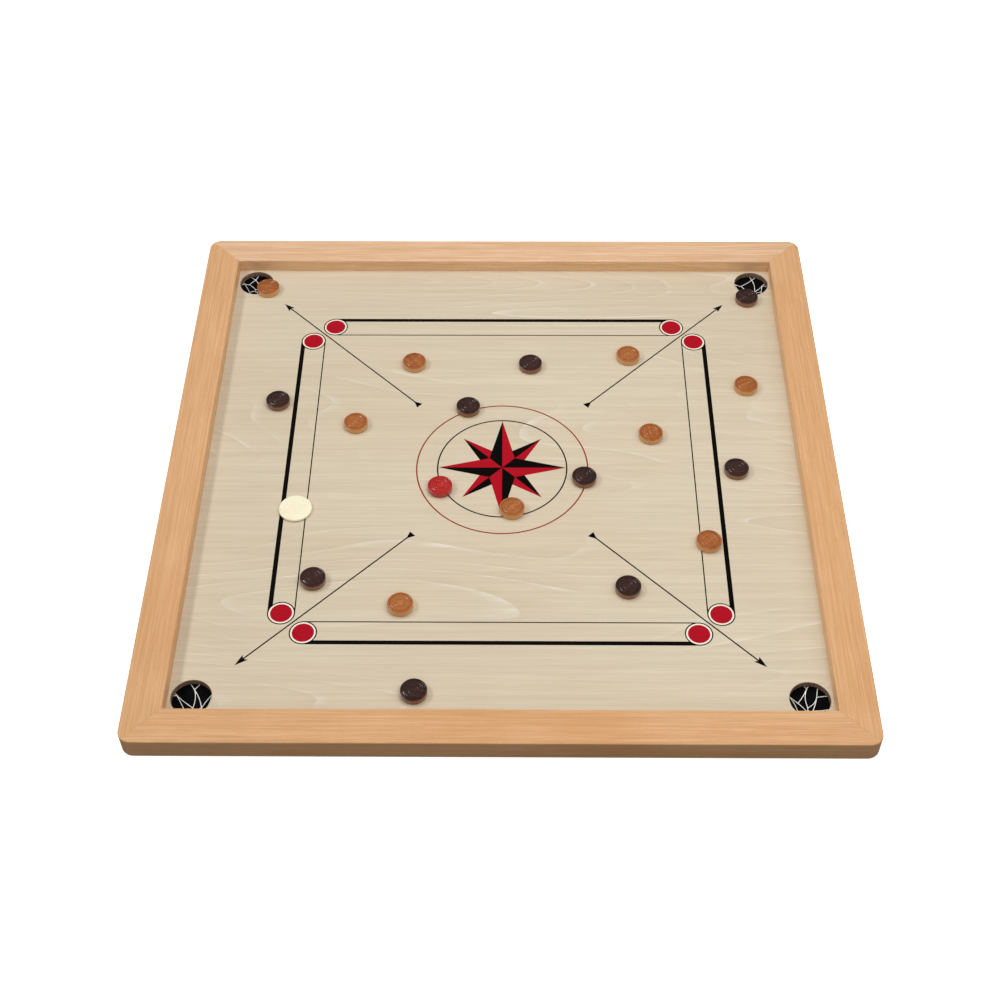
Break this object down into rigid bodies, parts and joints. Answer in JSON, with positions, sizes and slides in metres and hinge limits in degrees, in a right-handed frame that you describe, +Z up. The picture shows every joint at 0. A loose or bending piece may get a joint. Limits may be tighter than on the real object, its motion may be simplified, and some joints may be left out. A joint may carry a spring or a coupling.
{
  "type": "carrom board",
  "caption": "Square carrom board with a mitred wooden frame, plywood playing panel, netted corner pockets, turned wooden men, a queen and a striker laid out in mid-game.",
  "frame": {"origin": "centre of the frame underside, on the plane the board rests on", "axes": "+Z up, +X to the right and +Y away from the near rail, with the striker on the left-hand base line"},
  "size_m": [0.828, 0.828, 0.0285],
  "materials": {
    "rail_wood": "satin-varnished beech",
    "panel_ply": "polished pale plywood with printed markings",
    "spline_wood": "raw plywood",
    "steel": "bright drawn wire",
    "net_cord": "white twisted cotton cord",
    "lining_cloth": "matt black woven cloth",
    "light_man_wood": "turned and lacquered hardwood",
    "dark_man_wood": "turned, stained and lacquered hardwood",
    "queen_wood": "turned, red-stained and lacquered hardwood",
    "striker_resin": "polished ivory-coloured cast resin"
  },
  "bodies": {
    "board": {"rail_front": "rail_wood", "rail_right": "rail_wood", "rail_back": "rail_wood", "rail_left": "rail_wood", "mitre_spline_front_right": "spline_wood", "mitre_spline_back_right": "spline_wood", "mitre_spline_back_left": "spline_wood", "mitre_spline_front_left": "spline_wood", "playing_panel": "panel_ply", "panel_pin_front_1": "steel", "panel_pin_front_2": "steel", "panel_pin_right_1": "steel", "panel_pin_right_2": "steel", "panel_pin_back_1": "steel", "panel_pin_back_2": "steel", "panel_pin_left_1": "steel", "panel_pin_left_2": "steel", "pocket_net_front_right": "net_cord", "pocket_lining_front_right": "lining_cloth", "net_staple_front_right_1": "steel", "net_staple_front_right_2": "steel", "net_staple_front_right_3": "steel", "pocket_net_back_right": "net_cord", "pocket_lining_back_right": "lining_cloth", "net_staple_back_right_1": "steel", "net_staple_back_right_2": "steel", "net_staple_back_right_3": "steel", "pocket_net_back_left": "net_cord", "pocket_lining_back_left": "lining_cloth", "net_staple_back_left_1": "steel", "net_staple_back_left_2": "steel", "net_staple_back_left_3": "steel", "pocket_net_front_left": "net_cord", "pocket_lining_front_left": "lining_cloth", "net_staple_front_left_1": "steel", "net_staple_front_left_2": "steel", "net_staple_front_left_3": "steel"},
    "light_man_1_body": {"light_man_1": "light_man_wood"},
    "light_man_2_body": {"light_man_2": "light_man_wood"},
    "light_man_3_body": {"light_man_3": "light_man_wood"},
    "light_man_4_body": {"light_man_4": "light_man_wood"},
    "light_man_5_body": {"light_man_5": "light_man_wood"},
    "light_man_6_body": {"light_man_6": "light_man_wood"},
    "light_man_7_body": {"light_man_7": "light_man_wood"},
    "light_man_8_body": {"light_man_8": "light_man_wood"},
    "light_man_9_body": {"light_man_9": "light_man_wood"},
    "dark_man_1_body": {"dark_man_1": "dark_man_wood"},
    "dark_man_2_body": {"dark_man_2": "dark_man_wood"},
    "dark_man_3_body": {"dark_man_3": "dark_man_wood"},
    "dark_man_4_body": {"dark_man_4": "dark_man_wood"},
    "dark_man_5_body": {"dark_man_5": "dark_man_wood"},
    "dark_man_6_body": {"dark_man_6": "dark_man_wood"},
    "dark_man_7_body": {"dark_man_7": "dark_man_wood"},
    "dark_man_8_body": {"dark_man_8": "dark_man_wood"},
    "dark_man_9_body": {"dark_man_9": "dark_man_wood"},
    "queen_body": {"queen": "queen_wood"},
    "striker_body": {"striker": "striker_resin"}
  },
  "joints": [
    {"name": "light_man_1_slide", "type": "slide", "parent": "board", "child": "light_man_1_body", "axis": [-0.7599, 0.6501, 0], "range_m": [-0.146, 0.0005]},
    {"name": "light_man_2_slide", "type": "slide", "parent": "board", "child": "light_man_2_body", "axis": [0, 1, 0], "range_m": [-0.186, 0.171]},
    {"name": "light_man_3_slide", "type": "slide", "parent": "board", "child": "light_man_3_body", "axis": [1, 0, 0], "range_m": [-0.098, 0.108]},
    {"name": "light_man_4_slide", "type": "slide", "parent": "board", "child": "light_man_4_body", "axis": [1, 0, 0], "range_m": [-0.097, 0.036]},
    {"name": "light_man_5_slide", "type": "slide", "parent": "board", "child": "light_man_5_body", "axis": [0, 1, 0], "range_m": [-0.087, 0.146]},
    {"name": "light_man_6_slide", "type": "slide", "parent": "board", "child": "light_man_6_body", "axis": [0, 1, 0], "range_m": [-0.145, 0.11]},
    {"name": "light_man_7_slide", "type": "slide", "parent": "board", "child": "light_man_7_body", "axis": [1, 0, 0], "range_m": [-0.119, 0.058]},
    {"name": "light_man_8_slide", "type": "slide", "parent": "board", "child": "light_man_8_body", "axis": [0, 1, 0], "range_m": [-0.089, 0.117]},
    {"name": "light_man_9_slide", "type": "slide", "parent": "board", "child": "light_man_9_body", "axis": [1, 0, 0], "range_m": [-0.115, 0.105]},
    {"name": "dark_man_1_slide", "type": "slide", "parent": "board", "child": "dark_man_1_body", "axis": [0.2803, 0.9599, 0], "range_m": [-0.108, 0.012]},
    {"name": "dark_man_2_slide", "type": "slide", "parent": "board", "child": "dark_man_2_body", "axis": [0, 1, 0], "range_m": [-0.184, 0.174]},
    {"name": "dark_man_3_slide", "type": "slide", "parent": "board", "child": "dark_man_3_body", "axis": [0, 1, 0], "range_m": [-0.418, 0.146]},
    {"name": "dark_man_4_slide", "type": "slide", "parent": "board", "child": "dark_man_4_body", "axis": [0, 1, 0], "range_m": [-0.105, 0.253]},
    {"name": "dark_man_5_slide", "type": "slide", "parent": "board", "child": "dark_man_5_body", "axis": [0, 1, 0], "range_m": [-0.14, 0.184]},
    {"name": "dark_man_6_slide", "type": "slide", "parent": "board", "child": "dark_man_6_body", "axis": [1, 0, 0], "range_m": [-0.072, 0.062]},
    {"name": "dark_man_7_slide", "type": "slide", "parent": "board", "child": "dark_man_7_body", "axis": [0, 1, 0], "range_m": [-0.126, 0.045]},
    {"name": "dark_man_8_slide", "type": "slide", "parent": "board", "child": "dark_man_8_body", "axis": [1, 0, 0], "range_m": [-0.234, 0.205]},
    {"name": "dark_man_9_slide", "type": "slide", "parent": "board", "child": "dark_man_9_body", "axis": [1, 0, 0], "range_m": [-0.225, 0.418]},
    {"name": "queen_slide", "type": "slide", "parent": "board", "child": "queen_body", "axis": [1, 0, 0], "range_m": [-0.087, 0.147]},
    {"name": "striker_slide", "type": "slide", "parent": "board", "child": "striker_body", "axis": [0, 1, 0], "range_m": [-0.045, 0.287]}
  ]
}
